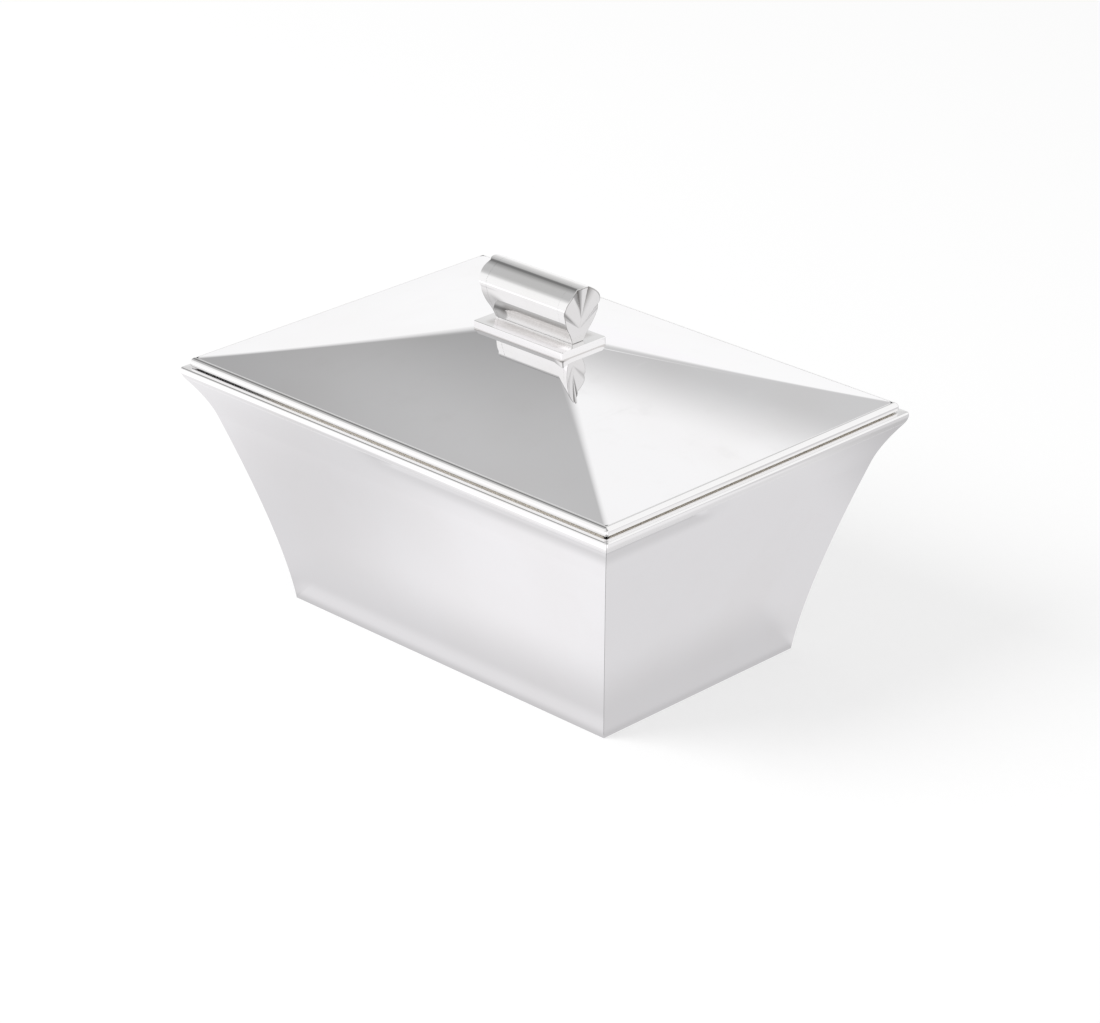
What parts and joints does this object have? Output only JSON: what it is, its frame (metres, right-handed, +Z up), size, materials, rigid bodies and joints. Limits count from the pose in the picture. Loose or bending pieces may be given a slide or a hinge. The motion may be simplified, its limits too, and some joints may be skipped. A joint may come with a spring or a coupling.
{
  "type": "biscuit box",
  "caption": "Oblong silver-plated biscuit box with flared sheet walls, a flat rim and a loose hipped lid lifted by a bar grip with pleated fan ends.",
  "frame": {"origin": "middle of the flat underside, on the surface that the box stands on", "axes": "+X along the length, +Y from the front long wall to the back one, +Z up"},
  "size_m": [0.21, 0.15, 0.1346],
  "materials": {
    "polished_silver": "mirror-polished silver plate with fine hairline scratches and a trace of warm tarnish in the joints",
    "inside_silver": "satin silver plate, unpolished inside the lid",
    "brass": "plain turned brass, dulled"
  },
  "bodies": {
    "box": {"base_plate": "polished_silver", "front_panel": "polished_silver", "back_panel": "polished_silver", "left_panel": "polished_silver", "right_panel": "polished_silver", "front_rim": "polished_silver", "back_rim": "polished_silver", "left_rim": "polished_silver", "right_rim": "polished_silver"},
    "lid": {"lid_roof": "polished_silver", "front_bead": "polished_silver", "back_bead": "polished_silver", "left_bead": "polished_silver", "right_bead": "polished_silver", "front_bezel": "inside_silver", "back_bezel": "inside_silver", "left_bezel": "inside_silver", "right_bezel": "inside_silver", "grip_plate": "polished_silver", "grip_bar": "polished_silver", "left_fan": "polished_silver", "right_fan": "polished_silver", "left_stud": "brass", "right_stud": "brass", "left_washer": "brass", "right_washer": "brass", "left_nut": "brass", "right_nut": "brass"}
  },
  "joints": [
    {"name": "lid_lift", "type": "slide", "parent": "box", "child": "lid", "axis": [0, 0, 1], "range_m": [0, 0.15]}
  ]
}
